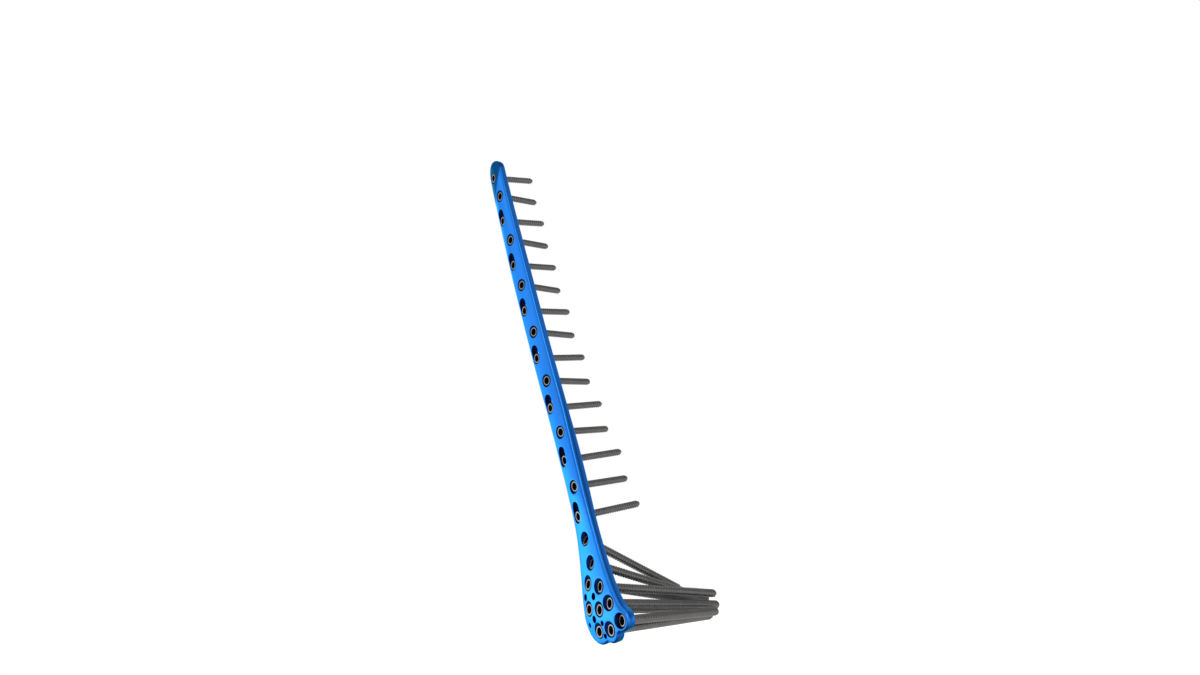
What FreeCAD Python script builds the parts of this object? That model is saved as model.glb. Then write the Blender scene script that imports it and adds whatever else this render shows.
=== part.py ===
import FreeCAD, Part
import math
import os

import Sketcher
from FreeCAD import Placement, Rotation, Vector

# Locking bone plate for the outer side of the lower thigh bone, with its 25 locking screws.
# Lengths are in millimetres and angles in degrees. The long axis of the plate is Z, with the broad
# head at the bottom, the outer face looks along -Y and the screws run into the bone along +Y.
# The origin is on the axis of the middle shaft screw, where its shank begins just under the plate.

SIZES = {
    # Shaft of the plate
    "plate_thickness": 5.4,
    "shaft_width": 17.5,
    "shaft_face_radius": 26.0,
    "shaft_under_radius": 60.0,
    "bow_radius": 1667.0,
    "back_sweep_radius": 3850.0,
    "tip_overhang": 12.0,
    "tip_slope_start": 110.0,
    "tip_slope_radius": 300.0,
    "tip_slope_angle": 14.0,
    # Thicker metal where the shaft runs into the head
    "neck_thickening": 1.4,
    "neck_rise_start": 50.0,
    "neck_rise_end": 95.0,
    "neck_fall_start": 108.0,
    "neck_fall_end": 142.0,
    # Rows of holes along the shaft
    "hole_pitch": 18.0,
    "round_row_offset": 1.4,
    "slot_row_offset": 2.6,
    # Flare of the head away from the shaft, and its curl back to the bone
    "flare_start": 72.0,
    "flare_radius": 430.0,
    "flare_angle": 12.5,
    "curl_start": 171.0,
    "curl_radius": 95.0,
    "curl_angle": 21.0,
    "head_twist": 7.0,
    "twist_start": 30.0,
    "twist_end": 130.0,
    "head_face_radius": 75.0,
    "head_under_radius": 70.0,
    # Outline of the head seen from the front
    "side_flare_start": 120.0,
    "side_flare_radius": 172.0,
    "side_hollow_radius": 12.0,
    "left_hollow_radius": 440.0,
    "corner_radius": 14.8,
    "corner_across": 6.2,
    "corner_down": 183.4,
    "front_lobe_radius": 6.0,
    "end_lobe_radius": 6.4,
    "end_lobe_across": 16.3,
    "end_lobe_down": 192.1,
    "front_notch_radius": 2.2,
    "end_notch_radius": 1.5,
    "edge_round": 1.3,
    # Locking holes and slots
    "rim_radius": 4.3,
    "rim_depth": 1.0,
    "head_recess": 0.35,
    "recess_share": 0.5,
    "deep_recess": 0.9,
    "slot_rim_radius": 3.9,
    "slot_travel": 5.5,
    "wire_hole_radius": 2.0,
    "suture_hole_radius": 1.4,
    "head_clearance": 0.1,
    "entry_clearance": 0.3,
    # Locking screws
    "screw_head_radius": 3.3,
    "screw_head_height": 5.05,
    "shaft_shank_radius": 2.25,
    "head_shank_radius": 2.5,
    "screw_tip_height": 3.0,
    "screw_tip_radius": 1.2,
    "socket_across_flats": 4.0,
    "socket_depth": 2.8,
    # Beyond the metal, so that every cut passes right through
    "overshoot": 1.5,
}

# Shaft holes are numbered from the tip of the plate down. The even ones are round, and the odd ones
# are slots, apart from the first.
SHAFT_HOLES = 15
MIDDLE_HOLE = 8
SHAFT_SCREW_LENGTHS = [32, 32, 34, 34, 36, 36, 38, 38, 40, 40, 42, 42, 44, 44, 46]

# Each head hole: across and down from the origin, seen from the front, then the turn of its screw
# towards +X and down, and the screw's length.
HEAD_HOLES = {
    "neck_screw_upper": (4.7, 140.0, 5.5, 35.0, 74.0),
    "neck_screw_lower": (7.3, 154.0, 14.5, 29.0, 81.0),
    "head_screw_a": (2.1, 165.0, 9.5, 20.5, 84.0),
    "head_screw_b": (13.9, 168.1, 14.0, 17.0, 79.0),
    "head_screw_c": (-0.5, 178.3, 6.5, 12.5, 84.0),
    "head_screw_d": (10.8, 179.9, 7.0, 12.5, 79.0),
    "head_screw_e": (20.4, 177.9, 10.0, 14.5, 77.0),
    "head_screw_f": (26.2, 187.9, 9.5, 10.0, 68.0),
    "head_screw_g": (5.9, 190.9, 6.0, 8.0, 79.0),
    "head_screw_h": (17.1, 191.4, 9.0, 8.0, 73.0),
}
DEEP_SCREWS = ["neck_screw_upper", "neck_screw_lower", "head_screw_f"]

# Small holes for wires and sutures: across and down, then whether it is one of the wider ones
SMALL_HOLES = [
    (-2.6, 171.6, True),
    (7.0, 172.2, True),
    (4.0, 184.1, True),
    (-3.0, 186.6, False),
    (11.3, 187.0, False),
    (11.2, 193.8, False),
]

# Heights at which the cross-section of the plate is drawn, measured down from the origin
SECTION_HEIGHTS = [-150, -100, -50, 0, 40, 80, 105, 125, 140, 155, 170, 185, 208]
NARROW_REACH = 12.0
WIDE_REACH = 31.0
BROADEN_START = 112.0
BROADEN_END = 172.0

doc = FreeCAD.newDocument("bone_plate")
sheet = doc.addObject("Spreadsheet::Sheet", "sizes")
for row, (name, value) in enumerate(SIZES.items(), start=1):
    sheet.set(f"A{row}", name)
    sheet.set(f"B{row}", str(value))
    sheet.setAlias(f"B{row}", name)
doc.recompute()


def size(name):
    return float(sheet.get(name))


def cell(name):
    return f"{sheet.Name}.{name}"


# Form of the plate

ROUND_TURN = math.asin(size("round_row_offset") / size("shaft_face_radius"))
SLOT_TURN = -math.asin(size("slot_row_offset") / size("shaft_face_radius"))

# The origin lies this deep below the rim of the middle hole, straight in
SHANK_DEPTH = size("head_recess") + size("screw_head_height")
ORIGIN_RADIUS = size("shaft_face_radius") - SHANK_DEPTH
MIDDLE_X = -ORIGIN_RADIUS * math.sin(ROUND_TURN)
MIDDLE_Y = ORIGIN_RADIUS * math.cos(ROUND_TURN) - size("shaft_face_radius")


def blend(value, start, end):
    """A smooth rise from 0 to 1 between two places."""
    share = min(max((value - start) / (end - start), 0.0), 1.0)
    return share * share * (3 - 2 * share)


def bend_away(down, start, radius, angle):
    """How far a line has moved sideways after an arc that starts at a height and turns by an angle."""
    if down <= start:
        return 0.0
    turn = math.radians(angle)
    reach = radius * math.sin(turn)
    if down - start <= reach:
        return radius - math.sqrt(radius ** 2 - (down - start) ** 2)
    return radius * (1 - math.cos(turn)) + (down - start - reach) * math.tan(turn)


def centre_x(down):
    """Across place of the centreline, which bows gently along the plate."""
    return MIDDLE_X + size("bow_radius") - math.sqrt(size("bow_radius") ** 2 - down ** 2)


def thickening(down):
    """How much thicker the plate is where the shaft runs into the head."""
    rise = blend(down, size("neck_rise_start"), size("neck_rise_end"))
    return size("neck_thickening") * rise * (1 - blend(down, size("neck_fall_start"), size("neck_fall_end")))


def recess(down, deep=False):
    """How far a screw head's top lies below the outer face, more where the plate is thicker."""
    return size("head_recess") + size("recess_share") * thickening(down) + (size("deep_recess") if deep else 0.0)


def tip_slope(down):
    """How far the outer face has dropped towards the bone near the tip."""
    return bend_away(-down, size("tip_slope_start"), size("tip_slope_radius"), size("tip_slope_angle"))


def centre_y(down):
    """Depth of the outer face at the centreline: a straight shaft, the flare, then the curl."""
    sweep = size("back_sweep_radius")
    if down < 0:
        return MIDDLE_Y - sweep + math.sqrt(sweep ** 2 - down ** 2) + tip_slope(down)
    flare = bend_away(down, size("flare_start"), size("flare_radius"), size("flare_angle"))
    curl = bend_away(down, size("curl_start"), size("curl_radius"), size("curl_angle"))
    return MIDDLE_Y - flare - thickening(down) + curl


def twist(down):
    """Turn of the cross-section about Z, so that the outer face leans towards -X."""
    return math.radians(size("head_twist")) * blend(abs(down), size("twist_start"), size("twist_end"))


def face_radius(down):
    """Radius of the convex outer face across the plate, tight on the shaft and wide on the head."""
    share = blend(down, BROADEN_START, BROADEN_END)
    return size("shaft_face_radius") + (size("head_face_radius") - size("shaft_face_radius")) * share


def under_radius(down):
    """Radius of the hollow underside across the plate."""
    share = blend(down, BROADEN_START, BROADEN_END)
    return size("shaft_under_radius") + (size("head_under_radius") - size("shaft_under_radius")) * share


def section_axes(down):
    """The directions across the plate and out of its face in one cross-section."""
    turn = twist(down)
    across = Vector(math.cos(turn), -math.sin(turn), 0)
    outward = Vector(-math.sin(turn), -math.cos(turn), 0)
    return across, outward


def face_point(down, around):
    """A point of the outer face, at a height and a distance around the face from its centreline."""
    across, outward = section_axes(down)
    radius = face_radius(down)
    centre = Vector(centre_x(down), centre_y(down), -down)
    turn = around / radius
    return centre + across * (radius * math.sin(turn)) - outward * (radius * (1 - math.cos(turn)))


def face_point_at(across_x, down):
    """The point of the outer face that has a given place across, seen from the front."""
    around = across_x - centre_x(down)
    for _ in range(8):
        around += across_x - face_point(down, around).x
    return face_point(down, around), around


def face_normal(down, around):
    """The direction straight out of the outer face."""
    step = 0.5
    along_face = face_point(down, around + step) - face_point(down, around - step)
    up_face = face_point(down - step, around) - face_point(down + step, around)
    normal = along_face.cross(up_face)
    normal.normalize()
    return normal


def section_normal(down, around):
    """The direction out of the outer face within its level cross-section."""
    across, outward = section_axes(down)
    turn = around / face_radius(down)
    return outward * math.cos(turn) + across * math.sin(turn)


def outward_placement(point, outward):
    """Places a piece with its own Z straight out of the plate and its own Y up the plate."""
    side = Vector(0, 0, 1).cross(outward)
    return Placement(point, Rotation(side, Vector(0, 0, 1), outward, "ZXY"))


# Drawing helpers

def origin_plane(body, role):
    for feature in body.Origin.OriginFeatures:
        if feature.Role == role:
            return feature
    raise ValueError(role)


def new_sketch(body, name, role, lift=0.0):
    """A sketch on one of the body's own origin planes, raised from it by a distance."""
    sketch = body.newObject("Sketcher::SketchObject", name)
    sketch.AttachmentSupport = [(origin_plane(body, role), "")]
    sketch.MapMode = "FlatFace"
    sketch.AttachmentOffset = Placement(Vector(0, 0, lift), Rotation())
    return sketch


def fix_geometry(sketch):
    """Holds every curve of a sketch where the plate's form puts it."""
    for index in range(len(sketch.Geometry)):
        sketch.addConstraint(Sketcher.Constraint("Block", index))


def plane_arc(start, middle, end):
    return Part.Arc(Vector(*start, 0), Vector(*middle, 0), Vector(*end, 0))


def plane_line(start, end):
    return Part.LineSegment(Vector(*start, 0), Vector(*end, 0))


# Blank of the plate

def reach(down):
    return NARROW_REACH + (WIDE_REACH - NARROW_REACH) * blend(down, BROADEN_START, BROADEN_END)


def section_sketch(body, down):
    """One level cross-section: a convex outer arc, a hollow inner arc and two straight sides."""
    sketch = new_sketch(body, f"section_{SECTION_HEIGHTS.index(down):02d}", "XY_Plane", -down)
    outward = section_axes(down)[1]
    left = face_point(down, -reach(down))
    middle = face_point(down, 0)
    right = face_point(down, reach(down))
    half_chord = (right - left).Length / 2
    inner = under_radius(down)
    sag = inner - math.sqrt(inner ** 2 - half_chord ** 2)
    thickness = size("plate_thickness") + thickening(down) - tip_slope(down)
    middle_under = middle - outward * thickness
    edge_drop = outward * (-(thickness + sag))
    chord_middle = (left + right) * 0.5
    left_under = left + (middle - chord_middle) + edge_drop
    right_under = right + (middle - chord_middle) + edge_drop
    corners = [(point.x, point.y) for point in (left, middle, right, right_under, middle_under, left_under)]
    sketch.addGeometry(plane_arc(corners[0], corners[1], corners[2]))
    sketch.addGeometry(plane_line(corners[2], corners[3]))
    sketch.addGeometry(plane_arc(corners[3], corners[4], corners[5]))
    sketch.addGeometry(plane_line(corners[5], corners[0]))
    fix_geometry(sketch)
    return sketch


def touching_centre(first, first_distance, second, second_distance, left_of_line):
    """The point at given distances from two others, on one side of the line between them."""
    gap_x = second[0] - first[0]
    gap_z = second[1] - first[1]
    gap = math.hypot(gap_x, gap_z)
    along = (gap ** 2 + first_distance ** 2 - second_distance ** 2) / (2 * gap)
    aside = math.sqrt(first_distance ** 2 - along ** 2) * (1 if left_of_line else -1)
    unit = (gap_x / gap, gap_z / gap)
    return first[0] + unit[0] * along - unit[1] * aside, first[1] + unit[1] * along + unit[0] * aside


def towards(start, end, distance):
    """The point at a distance from a start, on the line to an end."""
    length = math.hypot(end[0] - start[0], end[1] - start[1])
    share = distance / length
    return start[0] + (end[0] - start[0]) * share, start[1] + (end[1] - start[1]) * share


def arc_middle(centre, radius, start, end):
    """The middle of the short arc between two points of a circle."""
    halfway = ((start[0] + end[0]) / 2, (start[1] + end[1]) / 2)
    return towards(centre, halfway, radius)


def outline_arcs():
    """The outline seen from the front, as tangent arcs: lists of centre, radius, start and end."""
    half = size("shaft_width") / 2
    bow = size("bow_radius")
    bow_centre = (MIDDLE_X + bow, 0.0)
    top = (MIDDLE_HOLE - 1) * size("hole_pitch") + size("tip_overhang") - half
    tip_centre = (centre_x(top), top)
    tip_left = towards(tip_centre, bow_centre, -half)
    tip_right = towards(tip_centre, bow_centre, half)
    tip_top = (tip_centre[0] + (tip_centre[1] - tip_left[1]), tip_centre[1] + half)

    flare_angle = math.asin(size("side_flare_start") / (bow - half))
    flare_start = (bow_centre[0] - (bow - half) * math.cos(flare_angle), -size("side_flare_start"))
    flare = size("side_flare_radius")
    flare_centre = towards(flare_start, bow_centre, flare)

    front_hole = HEAD_HOLES["head_screw_f"]
    front_lobe = (front_hole[0], -front_hole[1])
    end_lobe = (size("end_lobe_across"), -size("end_lobe_down"))
    corner = (size("corner_across"), -size("corner_down"))
    front_radius = size("front_lobe_radius")
    end_radius = size("end_lobe_radius")
    corner_radius = size("corner_radius")

    hollow = size("side_hollow_radius")
    hollow_centre = touching_centre(flare_centre, flare - hollow, front_lobe, front_radius + hollow, False)
    hollow_start = towards(flare_centre, hollow_centre, flare)
    hollow_end = towards(front_lobe, hollow_centre, front_radius)

    notch = size("front_notch_radius")
    notch_centre = touching_centre(front_lobe, front_radius + notch, end_lobe, end_radius + notch, True)
    notch_start = towards(front_lobe, notch_centre, front_radius)
    notch_end = towards(end_lobe, notch_centre, end_radius)

    dip = size("end_notch_radius")
    dip_centre = touching_centre(end_lobe, end_radius + dip, corner, corner_radius + dip, True)
    dip_start = towards(end_lobe, dip_centre, end_radius)
    dip_end = towards(corner, dip_centre, corner_radius)

    left = size("left_hollow_radius")
    left_centre = touching_centre(corner, corner_radius + left, bow_centre, bow + half + left, True)
    left_start = towards(corner, left_centre, corner_radius)
    left_end = towards(left_centre, bow_centre, left)

    return [
        (bow_centre, bow - half, tip_right, flare_start),
        (flare_centre, flare, flare_start, hollow_start),
        (hollow_centre, hollow, hollow_start, hollow_end),
        (front_lobe, front_radius, hollow_end, (front_lobe[0] + front_radius, front_lobe[1])),
        (front_lobe, front_radius, (front_lobe[0] + front_radius, front_lobe[1]), notch_start),
        (notch_centre, notch, notch_start, notch_end),
        (end_lobe, end_radius, notch_end, dip_start),
        (dip_centre, dip, dip_start, dip_end),
        (corner, corner_radius, dip_end, left_start),
        (left_centre, left, left_start, left_end),
        (bow_centre, bow + half, left_end, tip_left),
        (tip_centre, half, tip_left, tip_top),
        (tip_centre, half, tip_top, tip_right),
    ]


def on_outer_face(edge):
    """Whether an edge lies where the sides meet the outer face."""
    middle = edge.valueAt((edge.FirstParameter + edge.LastParameter) / 2)
    point = face_point_at(middle.x, -middle.z)[0]
    return abs(point.y - middle.y) < size("plate_thickness") / 4


def plate_blank(body):
    sections = [section_sketch(body, down) for down in SECTION_HEIGHTS]
    doc.recompute()
    blank = body.newObject("PartDesign::AdditiveLoft", "curved_blank")
    blank.Profile = sections[0]
    blank.Sections = sections[1:]
    doc.recompute()

    outline = new_sketch(body, "outline", "XZ_Plane")
    for centre, radius, start, end in outline_arcs():
        outline.addGeometry(plane_arc(start, arc_middle(centre, radius, start, end), end))
    far = 4 * size("side_flare_radius")
    frame_corners = [(-far, -far), (far, -far), (far, far), (-far, far)]
    for start, end in zip(frame_corners, frame_corners[1:] + frame_corners[:1]):
        outline.addGeometry(plane_line(start, end))
    fix_geometry(outline)
    trim = body.newObject("PartDesign::Pocket", "trim_to_outline")
    trim.Profile = outline
    trim.Type = "ThroughAll"
    trim.Midplane = True
    doc.recompute()

    names = []
    for number, edge in enumerate(trim.Shape.Edges, start=1):
        if on_outer_face(edge):
            names.append(f"Edge{number}")
    rounding = body.newObject("PartDesign::Fillet", "outer_edge_round")
    rounding.Base = (trim, names)
    rounding.setExpression("Radius", cell("edge_round"))
    doc.recompute()


# Holes: each is a cutting tool of its own, and all of them leave the blank in one cut

def placed(placement, low):
    """The placement, moved along its own Z."""
    return placement * Placement(Vector(0, 0, low), Rotation())


def cone_tool(name, placement, low, low_radius, high_radius, height):
    """A conical tool whose narrow end lies at a place along the Z of its placement."""
    tool = doc.addObject("Part::Cone", name)
    tool.setExpression("Radius1", low_radius)
    tool.setExpression("Radius2", high_radius)
    tool.setExpression("Height", height)
    tool.Placement = placed(placement, low)
    return tool


def rod_tool(name, placement, low, radius, height):
    """A cylindrical tool whose lower end lies at a place along the Z of its placement."""
    tool = doc.addObject("Part::Cylinder", name)
    tool.setExpression("Radius", radius)
    tool.setExpression("Height", height)
    tool.Placement = placed(placement, low)
    return tool


SEAT_RADIUS = f"({cell('screw_head_radius')} + {cell('head_clearance')})"


def widened(rim):
    """The radius that a sloping rim reaches once it is carried on past the outer face."""
    return f"{cell(rim)} + ({cell(rim)} - {SEAT_RADIUS}) / {cell('rim_depth')} * {cell('overshoot')}"


def rim_tool(name, placement):
    """The countersunk rim of a round hole."""
    height = f"{cell('rim_depth')} + {cell('overshoot')}"
    return cone_tool(f"{name}_rim", placement, -size("rim_depth"), SEAT_RADIUS, widened("rim_radius"), height)


def seat_tool(name, placement, depth):
    """The straight seat of a screw head, from a depth below the rim down through the plate."""
    height = f"{cell('plate_thickness')} + {cell('neck_thickening')} + {cell('overshoot')}"
    low = -depth - size("plate_thickness") - size("neck_thickening") - size("overshoot")
    return rod_tool(f"{name}_seat", placement, low, SEAT_RADIUS, height)


def entry_tool(name, placement, depth):
    """The way in above a screw head that leans over in its hole."""
    height = f"{cell('deep_recess')} + 2 * {cell('overshoot')}"
    radius = f"{cell('screw_head_radius')} + {cell('entry_clearance')}"
    return rod_tool(f"{name}_entry", placement, -depth, radius, height)


def long_sketch(name, placement, radius):
    """A slot's outline: a half circle round the screw, a half circle up the plate, and two sides."""
    sketch = doc.addObject("Sketcher::SketchObject", name)
    sketch.Placement = placement
    wide = size("slot_rim_radius")
    travel = size("slot_travel")
    low = Part.Circle(Vector(0, 0, 0), Vector(0, 0, 1), wide)
    high = Part.Circle(Vector(0, travel, 0), Vector(0, 0, 1), wide)
    sketch.addGeometry(Part.ArcOfCircle(low, math.pi, 2 * math.pi))
    sketch.addGeometry(Part.ArcOfCircle(high, 0, math.pi))
    sketch.addGeometry(plane_line((wide, 0), (wide, travel)))
    sketch.addGeometry(plane_line((-wide, travel), (-wide, 0)))
    sketch.addConstraint(Sketcher.Constraint("Coincident", 0, 3, -1, 1))
    sketch.addConstraint(Sketcher.Constraint("Tangent", 0, 2, 2, 1))
    sketch.addConstraint(Sketcher.Constraint("Tangent", 2, 2, 1, 1))
    sketch.addConstraint(Sketcher.Constraint("Tangent", 1, 2, 3, 1))
    sketch.addConstraint(Sketcher.Constraint("Tangent", 3, 2, 0, 1))
    sketch.addConstraint(Sketcher.Constraint("Vertical", 2))
    travel_rule = sketch.addConstraint(Sketcher.Constraint("DistanceY", 0, 3, 1, 3, travel))
    radius_rule = sketch.addConstraint(Sketcher.Constraint("Radius", 0, wide))
    sketch.setExpression(f"Constraints[{travel_rule}]", cell("slot_travel"))
    sketch.setExpression(f"Constraints[{radius_rule}]", radius)
    return sketch


def slot_tools(name, placement):
    """A slot with sloping upper walls and straight lower ones."""
    above = placed(placement, size("overshoot"))
    ledge = placed(placement, -size("rim_depth"))
    slope = doc.addObject("Part::Loft", f"{name}_slope")
    slope.Sections = [
        long_sketch(f"{name}_mouth", above, widened("slot_rim_radius")),
        long_sketch(f"{name}_ledge", ledge, SEAT_RADIUS),
    ]
    slope.Solid = True
    slope.Ruled = True
    through = doc.addObject("Part::Extrusion", f"{name}_through")
    through.Base = long_sketch(f"{name}_walls", above, SEAT_RADIUS)
    through.DirMode = "Normal"
    through.Reversed = True
    through.Solid = True
    through.setExpression("LengthFwd", f"{cell('plate_thickness')} + {cell('neck_thickening')} + 2 * {cell('overshoot')}")
    return [slope, through]


def shaft_seats():
    """Number, rim point, outward axis and recess of each shaft hole."""
    for number in range(1, SHAFT_HOLES + 1):
        down = (number - MIDDLE_HOLE) * size("hole_pitch")
        is_slot = number % 2 == 1
        around = size("shaft_face_radius") * (SLOT_TURN if is_slot else ROUND_TURN)
        yield number, face_point(down, around), section_normal(down, around), recess(down)


def head_seats():
    """Name, rim point, face normal, outward axis, recess and screw length of each head hole."""
    for name, (across, down, turn, dip, length) in HEAD_HOLES.items():
        point, around = face_point_at(across, down)
        axis = Vector(-math.tan(math.radians(turn)), -1, math.tan(math.radians(dip)))
        axis.normalize()
        yield name, point, face_normal(down, around), axis, recess(down, name in DEEP_SCREWS), length


def shaft_hole_tools():
    tools = []
    for number, point, axis, depth in shaft_seats():
        name = f"shaft_hole_{number:02d}"
        placement = outward_placement(point, axis)
        if number % 2 == 1 and number > 1:
            tools += slot_tools(name, placement)
        else:
            tools += [rim_tool(name, placement), seat_tool(name, placement, size("rim_depth"))]
    return tools


def head_hole_tools():
    tools = []
    for name, point, normal, axis, depth, length in head_seats():
        placement = outward_placement(point, axis)
        if name in DEEP_SCREWS:
            tools.append(rim_tool(name, outward_placement(point, normal)))
            tools.append(entry_tool(name, placement, depth))
            tools.append(seat_tool(name, placement, depth))
        else:
            tools += [rim_tool(name, placement), seat_tool(name, placement, size("rim_depth"))]
    return tools


def small_hole_tools():
    tools = []
    height = f"{cell('plate_thickness')} + 2 * {cell('overshoot')}"
    low = -size("plate_thickness") - size("overshoot")
    for number, (across, down, wide) in enumerate(SMALL_HOLES, start=1):
        point, around = face_point_at(across, down)
        placement = outward_placement(point, face_normal(down, around))
        radius = cell("wire_hole_radius" if wide else "suture_hole_radius")
        tools.append(rod_tool(f"small_hole_{number}", placement, low, radius, height))
    return tools


# Screws

def screw_profile(body, shank_radius, length):
    """Half of a screw's lengthwise section: head, shank and narrowing tip."""
    sketch = new_sketch(body, "profile", "XZ_Plane")
    wide = size("screw_head_radius")
    head_low = -size("screw_head_height")
    tip_top = -length + size("screw_tip_height")
    shank = size(shank_radius)
    nose = size("screw_tip_radius")
    corners = [
        (0, 0),
        (wide, 0),
        (wide, head_low),
        (shank, head_low),
        (shank, tip_top),
        (nose, -length),
        (0, -length),
    ]
    count = len(corners)
    for index in range(count):
        sketch.addGeometry(plane_line(corners[index], corners[(index + 1) % count]))
    for index in range(count):
        sketch.addConstraint(Sketcher.Constraint("Coincident", index, 2, (index + 1) % count, 1))
    sketch.addConstraint(Sketcher.Constraint("Coincident", 0, 1, -1, 1))
    head = cell("screw_head_radius")
    head_height = cell("screw_head_height")
    across_rules = [
        (1, head),
        (2, head),
        (3, cell(shank_radius)),
        (4, cell(shank_radius)),
        (5, cell("screw_tip_radius")),
    ]
    down_rules = [
        (2, head_height),
        (3, head_height),
        (4, f"{length} - {cell('screw_tip_height')}"),
        (5, f"{length}"),
    ]
    for index, rule in across_rules:
        number = sketch.addConstraint(Sketcher.Constraint("DistanceX", -1, 1, index, 1, corners[index][0]))
        sketch.setExpression(f"Constraints[{number}]", rule)
    for index, rule in down_rules:
        number = sketch.addConstraint(Sketcher.Constraint("DistanceY", index, 1, -1, 1, -corners[index][1]))
        sketch.setExpression(f"Constraints[{number}]", rule)
    sketch.addConstraint(Sketcher.Constraint("Horizontal", 0))
    sketch.addConstraint(Sketcher.Constraint("Horizontal", count - 2))
    sketch.addConstraint(Sketcher.Constraint("Vertical", count - 1))
    return sketch


def socket_sketch(body):
    """The six-sided outline of the driver socket."""
    sketch = new_sketch(body, "socket_outline", "XY_Plane")
    corner_radius = size("socket_across_flats") / math.sqrt(3)
    corners = []
    for index in range(6):
        turn = math.radians(60 * index)
        corners.append((corner_radius * math.cos(turn), corner_radius * math.sin(turn)))
    for index in range(6):
        sketch.addGeometry(plane_line(corners[index], corners[(index + 1) % 6]))
    guide = sketch.addGeometry(Part.Circle(Vector(0, 0, 0), Vector(0, 0, 1), corner_radius), True)
    sketch.addConstraint(Sketcher.Constraint("Coincident", guide, 3, -1, 1))
    for index in range(6):
        sketch.addConstraint(Sketcher.Constraint("Coincident", index, 2, (index + 1) % 6, 1))
        sketch.addConstraint(Sketcher.Constraint("PointOnObject", index, 1, guide))
    for index in range(1, 6):
        sketch.addConstraint(Sketcher.Constraint("Equal", 0, index))
    sketch.addConstraint(Sketcher.Constraint("PointOnObject", 0, 1, -1))
    flats = sketch.addConstraint(Sketcher.Constraint("Diameter", guide, 2 * corner_radius))
    sketch.setExpression(f"Constraints[{flats}]", f"{cell('socket_across_flats')} * 2 / sqrt(3)")
    return sketch


def make_screw(label, shank_radius, length, point, axis, depth):
    """One locking screw, its head below the rim and its tip in the bone."""
    body = doc.addObject("PartDesign::Body", label)
    body.Label = label
    profile = screw_profile(body, shank_radius, length)
    turned = body.newObject("PartDesign::Revolution", "turned_screw")
    turned.Profile = profile
    turned.ReferenceAxis = (profile, ["V_Axis"])
    turned.Angle = 360
    socket = socket_sketch(body)
    pocket = body.newObject("PartDesign::Pocket", "driver_socket")
    pocket.Profile = socket
    pocket.setExpression("Length", cell("socket_depth"))
    body.Placement = outward_placement(point - axis * depth, axis)
    return body


blank = doc.addObject("PartDesign::Body", "plate_blank")
plate_blank(blank)
all_holes = doc.addObject("Part::MultiFuse", "all_holes")
all_holes.Shapes = shaft_hole_tools() + head_hole_tools() + small_hole_tools()
plate = doc.addObject("Part::Cut", "bone_plate")
plate.Label = "bone_plate"
plate.Base = blank
plate.Tool = all_holes
sub_parts = [plate]

for number, point, axis, depth in shaft_seats():
    label = f"shaft_screw_{number:02d}"
    length = SHAFT_SCREW_LENGTHS[number - 1]
    sub_parts.append(make_screw(label, "shaft_shank_radius", length, point, axis, depth))

for name, point, normal, axis, depth, length in head_seats():
    sub_parts.append(make_screw(name, "head_shank_radius", length, point, axis, depth))

doc.recompute()

for item in doc.Objects:
    if "Invalid" in item.State or "Error" in item.State:
        raise RuntimeError(f"{item.Label} did not build")

os.makedirs("parts", exist_ok=True)
for piece in sub_parts:
    if piece.Shape.isNull() or not piece.Shape.isValid():
        raise RuntimeError(f"{piece.Label} is not a sound solid")
    if len(piece.Shape.Solids) != 1:
        raise RuntimeError(f"{piece.Label} is in {len(piece.Shape.Solids)} pieces")

for piece in sub_parts:
    piece.Shape.exportStep(f"parts/{piece.Label}.step")
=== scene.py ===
import math

import bmesh
import bpy
import numpy as np
from mathutils import Matrix, Vector
from mathutils.geometry import delaunay_2d_cdt


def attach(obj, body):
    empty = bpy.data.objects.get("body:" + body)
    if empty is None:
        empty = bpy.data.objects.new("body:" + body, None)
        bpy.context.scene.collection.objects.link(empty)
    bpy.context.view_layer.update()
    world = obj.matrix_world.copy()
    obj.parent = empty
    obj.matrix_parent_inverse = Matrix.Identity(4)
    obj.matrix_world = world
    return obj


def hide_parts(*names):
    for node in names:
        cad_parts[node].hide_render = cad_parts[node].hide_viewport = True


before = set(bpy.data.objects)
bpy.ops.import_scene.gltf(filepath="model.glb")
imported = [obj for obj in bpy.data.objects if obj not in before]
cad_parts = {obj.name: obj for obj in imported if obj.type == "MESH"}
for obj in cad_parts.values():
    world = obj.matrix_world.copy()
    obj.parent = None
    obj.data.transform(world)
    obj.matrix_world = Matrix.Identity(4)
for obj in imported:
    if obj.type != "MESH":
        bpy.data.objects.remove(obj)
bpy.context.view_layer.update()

# The looks of a long locking bone plate with a broad lobed head: a contoured plate in blue
# anodised titanium, and its grey threaded locking screws. The row frame has the long axis of the
# plate along Z with the head at the bottom, the outer face towards -Y and the screws along +Y.
# Shapes are worked out in millimetres and become metres where a mesh is made.

MM = 0.001

# Form of the plate
PLATE_THICKNESS = 5.4
NECK_THICKENING = 1.4
NECK_RISE_SPAN = (50.0, 95.0)
NECK_FALL_SPAN = (108.0, 142.0)
SHAFT_WIDTH = 17.5
SHAFT_FACE_RADIUS = 26.0
SHAFT_UNDER_RADIUS = 60.0
BOW_RADIUS = 1667.0
BACK_SWEEP_RADIUS = 3850.0
TIP_OVERHANG = 12.0
TIP_SLOPE = (110.0, 300.0, 14.0)
HOLE_PITCH = 18.0
ROUND_ROW_OFFSET = 1.4
SLOT_ROW_OFFSET = 2.6
HEAD_FLARE = (72.0, 430.0, 12.5)
HEAD_CURL = (171.0, 95.0, 21.0)
HEAD_TWIST = math.radians(7.0)
TWIST_SPAN = (30.0, 130.0)
HEAD_FACE_RADIUS = 75.0
HEAD_UNDER_RADIUS = 70.0
BROADEN_SPAN = (112.0, 172.0)

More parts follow.
